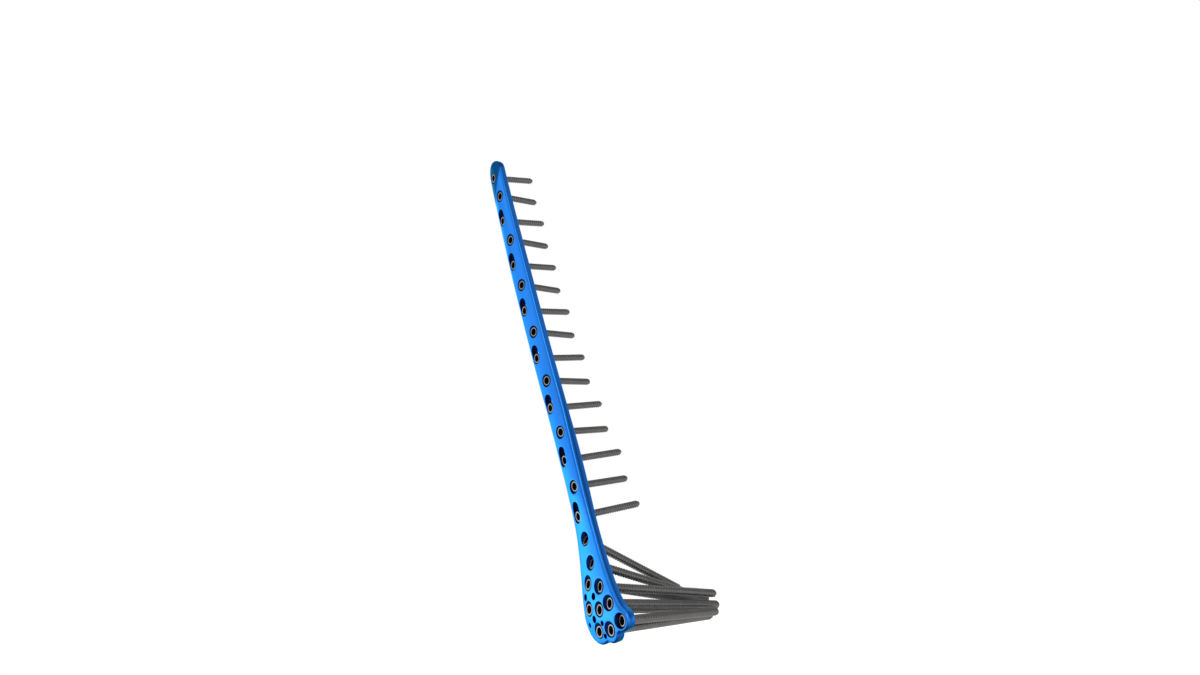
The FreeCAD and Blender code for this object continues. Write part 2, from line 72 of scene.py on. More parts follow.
# Outline of the head seen from the front
SIDE_FLARE_START = 120.0
SIDE_FLARE_RADIUS = 172.0
SIDE_HOLLOW_RADIUS = 12.0
LEFT_HOLLOW_RADIUS = 440.0
CORNER_RADIUS = 14.8
CORNER_PLACE = (6.2, -183.4)
FRONT_LOBE_RADIUS = 6.0
END_LOBE_RADIUS = 6.4
END_LOBE_PLACE = (16.3, -192.1)
FRONT_NOTCH_RADIUS = 2.2
END_NOTCH_RADIUS = 1.5
EDGE_ROUND = 1.3
UNDER_EDGE_ROUND = 0.5
EDGE_SHARE = 0.75
OUTLINE_INSET = 0.02
UPPER_EDGE_RINGS = 8
LOWER_EDGE_RINGS = 5
WALL_RING_SHARES = (0.12, 0.24, 0.5, 0.8)

# Deeper blue painted on the plate. These tints stand for shading seen from the camera's own angle
# and not for a colour of the real plate, which is one blue all over. At 0.0 a tint is off.
CREASE_TINT = 0.75
CREASE_LEAST_SHARE = 0.2
CREASE_SPAN = (0.0, 70.0)
CREASE_RINGS = [0.4, 0.5, 0.2, 0.0, 0.0, 0.0, 0.0, 0.5, 1.0, 0.9, 0.6]
WALL_SHARE = 0.35
END_TINT = 0.95
END_TINT_SIDE_SHARE = 0.3
HEAD_TINT = 0.4
HEAD_TINT_SPAN = (150.0, 180.0)
# The line across the tip: X where it passes a height, that height, and how much X grows upwards
TIP_TINT = 0.8
TIP_LINE = (5.0, 118.0, 0.8)
TIP_LINE_BLUR = (-1.5, 2.5)
TIP_TINT_SPAN = (100.0, 108.0)

# Holes
RIM_RADIUS = 4.3
RIM_DEPTH = 1.0
HEAD_RECESS = 0.35
RECESS_SHARE = 0.5
DEEP_RECESS = 0.9
SEAT_RADIUS = 3.4
SLOT_RIM_RADIUS = 3.9
SLOT_TRAVEL = 5.5
WIRE_HOLE_RADIUS = 2.0
SUTURE_HOLE_RADIUS = 1.4
RIM_BREAK = 0.17
RIM_BREAK_DOWN = 1.4
# Share of painted shade on the rounding at a hole's rim; the walls below it take the full painted shade
RIM_SHADE = 0.5
SMALL_BREAK = 0.15

# Screws
HEAD_RADIUS = 3.3
HEAD_HEIGHT = 5.05
HEAD_BEVEL = 0.35
SHAFT_SHANK_RADIUS = 2.25
HEAD_SHANK_RADIUS = 2.5
TIP_HEIGHT = 3.0
SOCKET_FLATS = 4.0
SOCKET_DEPTH = 2.8
SOCKET_FLOOR_DROP = 0.35
SOCKET_FLOOR_TAPER = 0.1
SOCKET_MIDDLE_DEPTH = 1.4
SOCKET_MOUTH = ((0.0, 0.42), (0.06, 0.34))
SOCKET_CHAMFER = ((0.36, 0.06), (0.44, 0.01), (0.52, 0.0))
HEAD_RING_EDGE = 0.1
HEAD_RING_DROP = 0.02
HEAD_BEVEL_RINGS = 5
HEAD_BEVEL_START = 0.15
HEAD_SEGMENTS = 48
POLE_RADIUS = 0.02
# Shares of painted shade on the screw heads: in the socket, at the edge of the top ring, and down the side
SOCKET_SHADE = 1.0
HEAD_RIM_SHADE = 0.3
HEAD_SIDE_SHADE = 0.8
SHANK_OVERLAP = 0.3
THREAD_PITCH = 1.75
THREAD_DEPTH = 0.38
THREAD_SLOPE = 1.9
THREAD_CREST_OFFSET = 0.35
THREAD_RUN_IN = 1.5
TIP_DOME_SHARE = 0.985
CLOSED_END_SHARE = 0.0001
SEAM_DISTANCE = 0.002
SHANK_POINTS_AROUND = 25
SHANK_ROWS_PER_PITCH = 6
# Painted shade too, and no colour of the real screws: their shanks are darker than their heads
SHANK_SHADE = 0.62
SHANK_SHADE_START = 0.01

SHAFT_HOLES = 15
MIDDLE_HOLE = 8
SHAFT_SCREW_LENGTHS = [32, 32, 34, 34, 36, 36, 38, 38, 40, 40, 42, 42, 44, 44, 46]

# Across, down, turn towards +X, dip and screw length of each hole in the head
HEAD_HOLES = {
    "neck_screw_upper": (4.7, 140.0, 5.5, 35.0, 74.0),
    "neck_screw_lower": (7.3, 154.0, 14.5, 29.0, 81.0),
    "head_screw_a": (2.1, 165.0, 9.5, 20.5, 84.0),
    "head_screw_b": (13.9, 168.1, 14.0, 17.0, 79.0),
    "head_screw_c": (-0.5, 178.3, 6.5, 12.5, 84.0),
    "head_screw_d": (10.8, 179.9, 7.0, 12.5, 79.0),
    "head_screw_e": (20.4, 177.9, 10.0, 14.5, 77.0),
    "head_screw_f": (26.2, 187.9, 9.5, 10.0, 68.0),
    "head_screw_g": (5.9, 190.9, 6.0, 8.0, 79.0),
    "head_screw_h": (17.1, 191.4, 9.0, 8.0, 73.0),
}
DEEP_SCREWS = ["neck_screw_upper", "neck_screw_lower", "head_screw_f"]

# Across, down and radius of the small plain holes
SMALL_HOLES = [
    (-2.6, 171.6, WIRE_HOLE_RADIUS),
    (7.0, 172.2, WIRE_HOLE_RADIUS),
    (4.0, 184.1, WIRE_HOLE_RADIUS),
    (-3.0, 186.6, SUTURE_HOLE_RADIUS),
    (11.3, 187.0, SUTURE_HOLE_RADIUS),
    (11.2, 193.8, SUTURE_HOLE_RADIUS),
]

# Fineness of the meshes
OUTLINE_STEP = 0.9
GRID_STEP = 1.1
GRID_MARGIN = 0.7
ROUND_SEGMENTS = 48
SLOT_SEGMENTS = 40
SLOT_SIDE_STEPS = 8
FACE_ROUNDS = 14
MEETING_ROUNDS = 12
MEETING_STEP = 0.05
NORMAL_STEP = 0.5

# Mathematics of the plate's two faces

ROUND_TURN = math.asin(ROUND_ROW_OFFSET / SHAFT_FACE_RADIUS)
SLOT_TURN = -math.asin(SLOT_ROW_OFFSET / SHAFT_FACE_RADIUS)
ORIGIN_RADIUS = SHAFT_FACE_RADIUS - HEAD_RECESS - HEAD_HEIGHT
MIDDLE_X = -ORIGIN_RADIUS * math.sin(ROUND_TURN)
MIDDLE_Y = ORIGIN_RADIUS * math.cos(ROUND_TURN) - SHAFT_FACE_RADIUS


def smooth_rise(value, span):
    share = np.clip((value - span[0]) / (span[1] - span[0]), 0.0, 1.0)
    return share * share * (3 - 2 * share)


def bend_away(down, bend):
    """How far a line has moved sideways after an arc of a given start, radius and angle."""
    start, radius, angle = bend
    turn = math.radians(angle)
    reach = radius * math.sin(turn)
    along = np.clip(down - start, 0.0, reach)
    on_arc = radius - np.sqrt(radius ** 2 - along ** 2)
    return on_arc + np.maximum(down - start - reach, 0.0) * math.tan(turn)


def centre_x(down):
    return MIDDLE_X + BOW_RADIUS - np.sqrt(BOW_RADIUS ** 2 - down ** 2)


def thickening(down):
    """How much thicker the plate is where the shaft runs into the head."""
    rise = smooth_rise(down, NECK_RISE_SPAN)
    return NECK_THICKENING * rise * (1 - smooth_rise(down, NECK_FALL_SPAN))


def centre_y(down):
    above = np.minimum(down, 0.0)
    sweep = np.sqrt(BACK_SWEEP_RADIUS ** 2 - above ** 2) - BACK_SWEEP_RADIUS
    slope = bend_away(-down, TIP_SLOPE)
    flare = bend_away(down, HEAD_FLARE) + thickening(down)
    return MIDDLE_Y + sweep + slope - flare + bend_away(down, HEAD_CURL)


def section_turn(down):
    return HEAD_TWIST * smooth_rise(np.abs(down), TWIST_SPAN)


def face_radius(down):
    return SHAFT_FACE_RADIUS + (HEAD_FACE_RADIUS - SHAFT_FACE_RADIUS) * smooth_rise(down, BROADEN_SPAN)


def under_radius(down):
    return SHAFT_UNDER_RADIUS + (HEAD_UNDER_RADIUS - SHAFT_UNDER_RADIUS) * smooth_rise(down, BROADEN_SPAN)


def drop_of(aside, down, under):
    """How far a face lies below the middle of the outer face, at a distance aside from it."""
    if under:
        radius = under_radius(down)
        thickness = PLATE_THICKNESS + thickening(down) - bend_away(-down, TIP_SLOPE)
        return thickness + radius - np.sqrt(radius ** 2 - aside ** 2)
    radius = face_radius(down)
    return radius - np.sqrt(radius ** 2 - aside ** 2)


def face_depth(x, z, under=False):
    """The Y of the outer face or the underside, straight behind a point of the front view."""
    down = -np.asarray(z, dtype=float)
    turn = section_turn(down)
    x = np.asarray(x, dtype=float)
    aside = x - centre_x(down)
    for _ in range(FACE_ROUNDS):
        aside = (x - centre_x(down) - drop_of(aside, down, under) * np.sin(turn)) / np.cos(turn)
    return centre_y(down) - aside * np.sin(turn) + drop_of(aside, down, under) * np.cos(turn)


def on_face(x, z, under=False):
    return np.stack([x, face_depth(x, z, under), z], axis=-1)


def recess(down, deep=False):
    """How far a screw head's top lies below the outer face, more where the plate is thicker."""
    return HEAD_RECESS + RECESS_SHARE * thickening(down) + (DEEP_RECESS if deep else 0.0)


def face_normal(x, z):
    step = NORMAL_STEP
    slope_x = (face_depth(x + step, z) - face_depth(x - step, z)) / (2 * step)
    slope_z = (face_depth(x, z + step) - face_depth(x, z - step)) / (2 * step)
    normal = np.array([slope_x, -1.0, slope_z])
    return normal / np.linalg.norm(normal)


def seat_axes(outward):
    """Directions across, up and out of a seat, given the way out of the plate."""
    across = np.cross([0.0, 0.0, 1.0], outward)
    across /= np.linalg.norm(across)
    return across, np.cross(outward, across), np.asarray(outward)


def shaft_seats():
    """Number, whether it is a slot, rim point, outward axis and recess of each shaft hole."""
    for number in range(1, SHAFT_HOLES + 1):
        down = (number - MIDDLE_HOLE) * HOLE_PITCH
        is_slot = number % 2 == 1
        lean = SLOT_TURN if is_slot else ROUND_TURN
        radius = float(face_radius(down))
        around = SHAFT_FACE_RADIUS * lean / radius
        turn = float(section_turn(down))
        across = np.array([math.cos(turn), -math.sin(turn), 0.0])
        outward = np.array([-math.sin(turn), -math.cos(turn), 0.0])
        centre = np.array([float(centre_x(down)), float(centre_y(down)), -down])
        point = centre + across * radius * math.sin(around) - outward * radius * (1 - math.cos(around))
        axis = outward * math.cos(around) + across * math.sin(around)
        yield number, is_slot and number > 1, point, axis, recess(down)


def head_seats():
    """Name, rim point, outward axis, recess and screw length of each head hole."""
    for name, (across, down, turn, dip, length) in HEAD_HOLES.items():
        point = on_face(np.float64(across), np.float64(-down))
        axis = np.array([-math.tan(math.radians(turn)), -1.0, math.tan(math.radians(dip))])
        yield name, point, axis / np.linalg.norm(axis), recess(down, name in DEEP_SCREWS), length


# Outline of the plate, as tangent arcs

def touching_centre(first, first_distance, second, second_distance, left_of_line):
    """The point at given distances from two others, on one side of the line between them."""
    gap = math.dist(first, second)
    along = (gap ** 2 + first_distance ** 2 - second_distance ** 2) / (2 * gap)
    aside = math.sqrt(first_distance ** 2 - along ** 2) * (1 if left_of_line else -1)
    ux, uz = (second[0] - first[0]) / gap, (second[1] - first[1]) / gap
    return first[0] + ux * along - uz * aside, first[1] + uz * along + ux * aside


def towards(start, end, distance):
    share = distance / math.dist(start, end)
    return start[0] + (end[0] - start[0]) * share, start[1] + (end[1] - start[1]) * share


def outline_arcs():
    """Centre, radius, start and end of each arc, clockwise from the right of the tip."""
    half = SHAFT_WIDTH / 2
    bow_centre = (MIDDLE_X + BOW_RADIUS, 0.0)
    top = (MIDDLE_HOLE - 1) * HOLE_PITCH + TIP_OVERHANG - half
    tip_centre = (float(centre_x(top)), top)
    tip_left = towards(tip_centre, bow_centre, -half)
    tip_right = towards(tip_centre, bow_centre, half)
    tip_top = (tip_centre[0] + (tip_centre[1] - tip_left[1]), tip_centre[1] + half)

    flare_angle = math.asin(SIDE_FLARE_START / (BOW_RADIUS - half))
    flare_x = bow_centre[0] - (BOW_RADIUS - half) * math.cos(flare_angle)
    flare_start = (flare_x, -SIDE_FLARE_START)
    flare_centre = towards(flare_start, bow_centre, SIDE_FLARE_RADIUS)

    front_lobe = (HEAD_HOLES["head_screw_f"][0], -HEAD_HOLES["head_screw_f"][1])
    hollow = SIDE_HOLLOW_RADIUS
    hollow_centre = touching_centre(
        flare_centre, SIDE_FLARE_RADIUS - hollow, front_lobe, FRONT_LOBE_RADIUS + hollow, False
    )
    hollow_start = towards(flare_centre, hollow_centre, SIDE_FLARE_RADIUS)
    hollow_end = towards(front_lobe, hollow_centre, FRONT_LOBE_RADIUS)

    notch = FRONT_NOTCH_RADIUS
    notch_centre = touching_centre(
        front_lobe, FRONT_LOBE_RADIUS + notch, END_LOBE_PLACE, END_LOBE_RADIUS + notch, True
    )
    notch_start = towards(front_lobe, notch_centre, FRONT_LOBE_RADIUS)
    notch_end = towards(END_LOBE_PLACE, notch_centre, END_LOBE_RADIUS)

    dip = END_NOTCH_RADIUS
    dip_centre = touching_centre(
        END_LOBE_PLACE, END_LOBE_RADIUS + dip, CORNER_PLACE, CORNER_RADIUS + dip, True
    )
    dip_start = towards(END_LOBE_PLACE, dip_centre, END_LOBE_RADIUS)
    dip_end = towards(CORNER_PLACE, dip_centre, CORNER_RADIUS)

    left = LEFT_HOLLOW_RADIUS
    left_centre = touching_centre(
        CORNER_PLACE, CORNER_RADIUS + left, bow_centre, BOW_RADIUS + half + left, True
    )
    left_start = towards(CORNER_PLACE, left_centre, CORNER_RADIUS)
    left_end = towards(left_centre, bow_centre, left)

    front_side = (front_lobe[0] + FRONT_LOBE_RADIUS, front_lobe[1])
    return [
        (bow_centre, BOW_RADIUS - half, tip_right, flare_start),
        (flare_centre, SIDE_FLARE_RADIUS, flare_start, hollow_start),
        (hollow_centre, hollow, hollow_start, hollow_end),
        (front_lobe, FRONT_LOBE_RADIUS, hollow_end, front_side),
        (front_lobe, FRONT_LOBE_RADIUS, front_side, notch_start),
        (notch_centre, notch, notch_start, notch_end),
        (END_LOBE_PLACE, END_LOBE_RADIUS, notch_end, dip_start),
        (dip_centre, dip, dip_start, dip_end),
        (CORNER_PLACE, CORNER_RADIUS, dip_end, left_start),
        (left_centre, left, left_start, left_end),
        (bow_centre, BOW_RADIUS + half, left_end, tip_left),
        (tip_centre, half, tip_left, tip_top),
        (tip_centre, half, tip_top, tip_right),
    ]


def outline_points():
    """Points round the outline with their outward directions, seen from the front."""
    points, normals = [], []
    for centre, radius, start, end in outline_arcs():
        first = math.atan2(start[1] - centre[1], start[0] - centre[0])
        last = math.atan2(end[1] - centre[1], end[0] - centre[0])
        sweep = (last - first + math.pi) % (2 * math.pi) - math.pi
        count = max(4, round(abs(sweep) * radius / OUTLINE_STEP))
        turns = first + sweep * np.arange(count) / count
        ray = np.stack([np.cos(turns), np.sin(turns)], axis=1)
        points.append(np.array(centre) + radius * ray)
        normals.append(-math.copysign(1, sweep) * ray)
    return np.concatenate(points), np.concatenate(normals)


# Mesh making

class Shell:
    """A growing closed mesh of rings of points and the faces between them."""

    def __init__(self):
        self.points = []
        self.faces = []
        self.marks = []

    def ring(self, points, mark=0.0):
        """Adds a ring of points, with how much painted shade its surface has."""
        first = len(self.points)
        self.points.extend(np.asarray(points).tolist())
        self.marks.extend(np.broadcast_to(mark, len(points)).tolist())
        return np.arange(first, first + len(points))

    def band(self, upper, lower):
        for a, b, c, d in zip(upper, np.roll(upper, -1), np.roll(lower, -1), lower):
            self.faces.append((int(a), int(b), int(c), int(d)))

    def bands(self, rings):
        for upper, lower in zip(rings, rings[1:]):
            self.band(upper, lower)

    def mesh(self, name):
        mesh = bpy.data.meshes.new(name)
        mesh.from_pydata([tuple(c * MM for c in point) for point in self.points], [], self.faces)
        # Each point's share of painted shade, which the materials read
        mesh.attributes.new("wall", "FLOAT", "POINT").data.foreach_set("value", self.marks)
        grown = bmesh.new()
        grown.from_mesh(mesh)
        bmesh.ops.recalc_face_normals(grown, faces=grown.faces)
        for face in grown.faces:
            face.smooth = True
        grown.to_mesh(mesh)
        grown.free()
        return mesh


def eased_corner(start, corner, end, steps):
    """Rings of points that round a corner off, tangent to the surfaces on both sides of it."""
    rings = []
    for share in np.linspace(0.0, 1.0, steps + 1):
        rings.append((1 - share) ** 2 * start + 2 * share * (1 - share) * corner + share ** 2 * end)
    return rings


def meet_face(base, direction, under=False):
    """Distance along lines at which they meet the outer face or the underside."""
    travel = np.zeros(len(base))
    step = MEETING_STEP
    for _ in range(MEETING_ROUNDS):
        here = base + direction * travel[:, None]
        ahead = here + direction * step
        miss = here[:, 1] - face_depth(here[:, 0], here[:, 2], under)
        miss_ahead = ahead[:, 1] - face_depth(ahead[:, 0], ahead[:, 2], under)
        travel = travel - miss * step / (miss_ahead - miss)
    return travel


def beside(points, away, distance, under=False):
    """Points of a face, a distance away from others of it in the front view."""
    flat = away[:, [0, 2]] / np.linalg.norm(away[:, [0, 2]], axis=1)[:, None]
    return on_face(points[:, 0] + flat[:, 0] * distance, points[:, 2] + flat[:, 1] * distance, under)


def hole_wall(shell, base, away, axis, rim, seat, depth, ease, lean=None):
    """Adds a hole's wall from the outer face to the underside, and returns its two edge rings.

    base are points on the hole's core, away the directions out from it, and axis the way out of the
    plate. The wall slopes from the rim radius to the seat radius at a depth, and is straight below.
    lean gives the core points and directions of the seat where they differ from those of the rim.
    """
    seat_base, seat_away = lean if lean else (base, away)
    seat_top = seat_base + seat_away * seat - axis * depth
    slope_start = base + away * rim
    slope = seat_top - slope_start
    slope /= np.linalg.norm(slope, axis=1)[:, None]
    corner = slope_start + slope * meet_face(slope_start, slope)[:, None]
    outer = eased_corner(beside(corner, away, ease), corner, corner + slope * ease * RIM_BREAK_DOWN, 4)
    turn = eased_corner(seat_top - slope * ease, seat_top, seat_top - axis * ease, 2)
    drop = meet_face(seat_top, np.broadcast_to(-axis, seat_top.shape), True)
    low_corner = seat_top - axis * drop[:, None]
    inner = eased_corner(low_corner + axis * ease, low_corner, beside(low_corner, seat_away, ease, True), 3)
    middle = (turn[-1] + inner[0]) / 2
    # Painted shade in the hole: the ring on the face as the face around it, half on the rim's rounding, full
    # down the seat and the bore, none on the underside
    rings = [shell.ring(outer[0], tip_painted_shade(outer[0])), shell.ring(outer[1], RIM_SHADE)]
    rings += [shell.ring(points, 1.0) for points in outer[2:] + turn + [middle] + inner[:3]]
    rings.append(shell.ring(inner[3]))
    shell.bands(rings)
    return rings[0], rings[-1]


def round_core(point, outward, segments):
    across, up, _ = seat_axes(outward)
    turns = np.linspace(0, 2 * math.pi, segments, endpoint=False)
    away = np.cos(turns)[:, None] * across + np.sin(turns)[:, None] * up
    return np.broadcast_to(point, away.shape), away


def slot_core(point, outward):
    """Core points and directions of a slot that runs up the plate from its screw."""
    across, up, _ = seat_axes(outward)
    half = SLOT_SEGMENTS // 2
    turns = np.linspace(0, math.pi, half + 1)
    upper = np.cos(turns)[:, None] * across + np.sin(turns)[:, None] * up
    lifts = np.linspace(SLOT_TRAVEL, 0.0, SLOT_SIDE_STEPS)[1:-1]
    left = np.broadcast_to(-across, (len(lifts), 3))
    away = np.concatenate([upper, left, -upper, -left])
    heights = np.concatenate([np.full(half + 1, SLOT_TRAVEL), lifts, np.zeros(half + 1), lifts[::-1]])
    return point + heights[:, None] * up, away


def inside(points, loop):
    """Which points of the front view lie within a closed loop."""
    x, z = points[:, 0][:, None], points[:, 1][:, None]
    first, second = loop, np.roll(loop, -1, axis=0)
    crosses = (first[:, 1] > z) != (second[:, 1] > z)
    rise = np.where(second[:, 1] == first[:, 1], 1.0, second[:, 1] - first[:, 1])
    at = first[:, 0] + (z - first[:, 1]) / rise * (second[:, 0] - first[:, 0])
    return (crosses & (x < at)).sum(axis=1) % 2 == 1


def tip_painted_shade(points):
    """How much painted shade lies above a slanting line across the narrow tip."""
    line = TIP_LINE[0] + (points[:, 2] - TIP_LINE[1]) * TIP_LINE[2]
    beyond = smooth_rise(line - points[:, 0], TIP_LINE_BLUR)
    return TIP_TINT * beyond * smooth_rise(points[:, 2], TIP_TINT_SPAN)


def fill_face(shell, border, holes, under):
    """Covers a face of the plate between its border and its holes with small triangles."""
    loops = [border] + holes
    placed = np.array(shell.points)
    flat_loops = [placed[loop][:, [0, 2]] for loop in loops]
    edge_points = np.concatenate(flat_loops)
    low, high = edge_points.min(axis=0), edge_points.max(axis=0)
    rows = np.arange(low[1], high[1], GRID_STEP * math.sqrt(3) / 2)
    grid = []
    for number, z in enumerate(rows):
        columns = np.arange(low[0] + (number % 2) * GRID_STEP / 2, high[0], GRID_STEP)
        grid.append(np.stack([columns, np.full(len(columns), z)], axis=1))
    grid = np.concatenate(grid)
    keep = inside(grid, flat_loops[0])
    for flat in flat_loops[1:]:
        keep &= ~inside(grid, flat)
    grid = grid[keep]
    nearest = np.full(len(grid), np.inf)
    for flat in flat_loops:
        gaps = np.linalg.norm(grid[:, None, :] - flat[None, :, :], axis=2)
        nearest = np.minimum(nearest, gaps.min(axis=1))
    grid = grid[nearest > GRID_MARGIN]

    spots = on_face(grid[:, 0], grid[:, 1], under)
    # The face's points take the painted shade across the tip
    fresh = shell.ring(spots, tip_painted_shade(spots))
    numbers = np.concatenate(loops + [fresh])
    flat = np.concatenate([edge_points, grid])
    edges, start = [], 0
    for loop in loops:
        count = len(loop)
        edges += [(start + i, start + (i + 1) % count) for i in range(count)]
        start += count
    corners, _, triangles, sources, _, _ = delaunay_2d_cdt(
        [Vector(point) for point in flat], edges, [], 0, 1e-7
    )
    middles = np.array([np.mean([corners[i] for i in triangle], axis=0) for triangle in triangles])
    keep = inside(middles, flat_loops[0])
    for loop in flat_loops[1:]:
        keep &= ~inside(middles, loop)
    for triangle, kept in zip(triangles, keep):
        if kept:
            shell.faces.append(tuple(int(numbers[sources[i][0]]) for i in triangle))


def outline_rings(shell, upper_holes, lower_holes):
    """Adds the plate's side wall with its rounded edges, and returns its numbered rings."""
    outline, outward = outline_points()
    placed = np.array(shell.points)[:, [0, 2]]

    def room(holes, full):
        """How wide the rounding may be at each point, so that it stays clear of the holes."""
        edges = np.concatenate([placed[loop] for loop in holes])
        gap = np.linalg.norm(outline[:, None, :] - edges[None, :, :], axis=2).min(axis=1)
        return np.minimum(full, EDGE_SHARE * gap)

    def ring(inset, height, under):
        points = outline - outward * (inset[:, None] + OUTLINE_INSET)
        spots = on_face(points[:, 0], points[:, 1], under)
        spots[:, 1] += height
        return spots

    high = room(upper_holes, EDGE_ROUND)
    low = room(lower_holes, UNDER_EDGE_ROUND)
    upper = [
        ring(high * (1 - math.sin(turn)), high * (1 - math.cos(turn)), False)
        for turn in np.linspace(0, math.pi / 2, UPPER_EDGE_RINGS)
    ]
    lower = [
        ring(low * (1 - math.sin(turn)), -low * (1 - math.cos(turn)), True)
        for turn in np.linspace(math.pi / 2, 0, LOWER_EDGE_RINGS)
    ]
    middle = [upper[-1] * (1 - share) + lower[0] * share for share in WALL_RING_SHARES]
    # Painted shade round the outline: a dark line where the rounding meets the side wall and a lighter one at
    # the face's edge, both deeper towards the head; less down the rest of the side wall; more on walls that
    # face down towards the head's end and on the head's right wall; and the tip's painted shade
    down = -outline[:, 1]
    towards_end = np.clip(END_TINT_SIDE_SHARE * outward[:, 0] - outward[:, 1], 0.0, 1.0) * END_TINT
    rest = 1 - CREASE_LEAST_SHARE
    deepening = CREASE_TINT * (CREASE_LEAST_SHARE + rest * smooth_rise(down, CREASE_SPAN))
    on_head = HEAD_TINT * smooth_rise(down, HEAD_TINT_SPAN) * np.clip(outward[:, 0], 0.0, 1.0)
    shares = CREASE_RINGS + [WALL_SHARE] * (len(upper + middle + lower) - len(CREASE_RINGS))
    numbers = []
    for number, (points, share) in enumerate(zip(upper + middle + lower, shares)):
        tint = np.maximum(share * deepening, tip_painted_shade(points))
        if number:
            tint = np.maximum(tint, towards_end)
        if share:
            tint = np.maximum(tint, on_head)
        numbers.append(shell.ring(points, tint))
    shell.bands(numbers)
    return numbers


def plate_mesh():
    shell = Shell()
    upper_holes, lower_holes = [], []

    def add(core, *sizes, lean=None):
        high, low = hole_wall(shell, *core, *sizes, lean=lean)
        upper_holes.append(high)
        lower_holes.append(low)

    for number, is_slot, point, axis, _ in shaft_seats():
        if is_slot:
            add(slot_core(point, axis), axis, SLOT_RIM_RADIUS, SEAT_RADIUS, RIM_DEPTH, RIM_BREAK)
        else:
            core = round_core(point, axis, ROUND_SEGMENTS)
            add(core, axis, RIM_RADIUS, SEAT_RADIUS, RIM_DEPTH, RIM_BREAK)
    for name, point, axis, low, length in head_seats():
        core = round_core(point, axis, ROUND_SEGMENTS)
        if name in DEEP_SCREWS:
            rim = round_core(point, face_normal(point[0], point[2]), ROUND_SEGMENTS)
            add(rim, axis, RIM_RADIUS, SEAT_RADIUS, low, RIM_BREAK, lean=core)
        else:
            add(core, axis, RIM_RADIUS, SEAT_RADIUS, RIM_DEPTH, RIM_BREAK)
    for across, down, radius in SMALL_HOLES:
        point = on_face(np.float64(across), np.float64(-down))
        normal = face_normal(point[0], point[2])
        core = round_core(point, normal, ROUND_SEGMENTS // 2)
        add(core, normal, radius, radius, RIM_DEPTH, SMALL_BREAK)
    sides = outline_rings(shell, upper_holes, lower_holes)
    fill_face(shell, sides[0], upper_holes, False)
    fill_face(shell, sides[-1], lower_holes, True)
    return shell.mesh("contoured_plate")


def screw_head_mesh():
    """A screw head with a flat ring round a six-sided socket, its top at the origin and its axis along Z."""
    shell = Shell()
    segments = HEAD_SEGMENTS
    turns = np.linspace(0, 2 * math.pi, segments, endpoint=False)

    def circle(radius, z):
        return np.stack([radius * np.cos(turns), radius * np.sin(turns), np.full(segments, z)], axis=1)

    def six_sided(flats, z):
        corner = math.pi / 3
        inner = np.mod(turns, corner) - corner / 2
        radius = flats / 2 / np.cos(inner)
        return np.stack([radius * np.cos(turns), radius * np.sin(turns), np.full(segments, z)], axis=1)

    flats = SOCKET_FLATS
    socket = [
        circle(POLE_RADIUS, -SOCKET_DEPTH - SOCKET_FLOOR_DROP),
        six_sided(flats - SOCKET_FLOOR_TAPER, -SOCKET_DEPTH),
        six_sided(flats, -SOCKET_DEPTH + SOCKET_FLOOR_TAPER),
        six_sided(flats, -SOCKET_MIDDLE_DEPTH),
    ]
    socket += [six_sided(flats + wider, -depth) for wider, depth in SOCKET_MOUTH]
    chamfer = [circle(flats / 2 + wider, -depth) for wider, depth in SOCKET_CHAMFER]
    edge = HEAD_RADIUS - HEAD_BEVEL
    face = [circle(edge - HEAD_RING_EDGE, 0.0), circle(edge, -HEAD_RING_DROP)]
    side = []
    for turn in np.linspace(HEAD_BEVEL_START, 1.0, HEAD_BEVEL_RINGS) * math.pi / 2:
        radius = HEAD_RADIUS - HEAD_BEVEL * (1 - math.sin(turn))
        side.append(circle(radius, -HEAD_BEVEL * (1 - math.cos(turn))))
    side.append(circle(HEAD_RADIUS, -HEAD_HEIGHT + HEAD_RING_EDGE))
    side.append(circle(HEAD_RADIUS - HEAD_RING_EDGE, -HEAD_HEIGHT))
    side.append(circle(POLE_RADIUS, -HEAD_HEIGHT))
    profile = socket + chamfer + face + side
    # Painted shade: dark in the socket and its mouth, none on the chamfer and the ring's face, some at the
    # ring's outer edge and more down the side
    marks = [SOCKET_SHADE] * (len(socket) + 1) + [0.0] * len(chamfer) + [HEAD_RIM_SHADE]
    marks += [HEAD_SIDE_SHADE] * len(side)
    rings = [shell.ring(points, mark) for points, mark in zip(profile, marks)]
    shell.bands(rings)
    shell.faces.append(tuple(int(i) for i in rings[0]))
    shell.faces.append(tuple(int(i) for i in rings[-1]))
    return shell.mesh("screw_head")


# Geometry Nodes

def node(tree, kind, settings=None, inputs=None, place=None):
    made = tree.nodes.new(kind)
    for name, value in (settings or {}).items():
        setattr(made, name, value)
    for name, value in (inputs or {}).items():
        socket = made.inputs[name]
        if isinstance(value, bpy.types.NodeSocket):
            tree.links.new(value, socket)
        else:
            socket.default_value = value
    return made


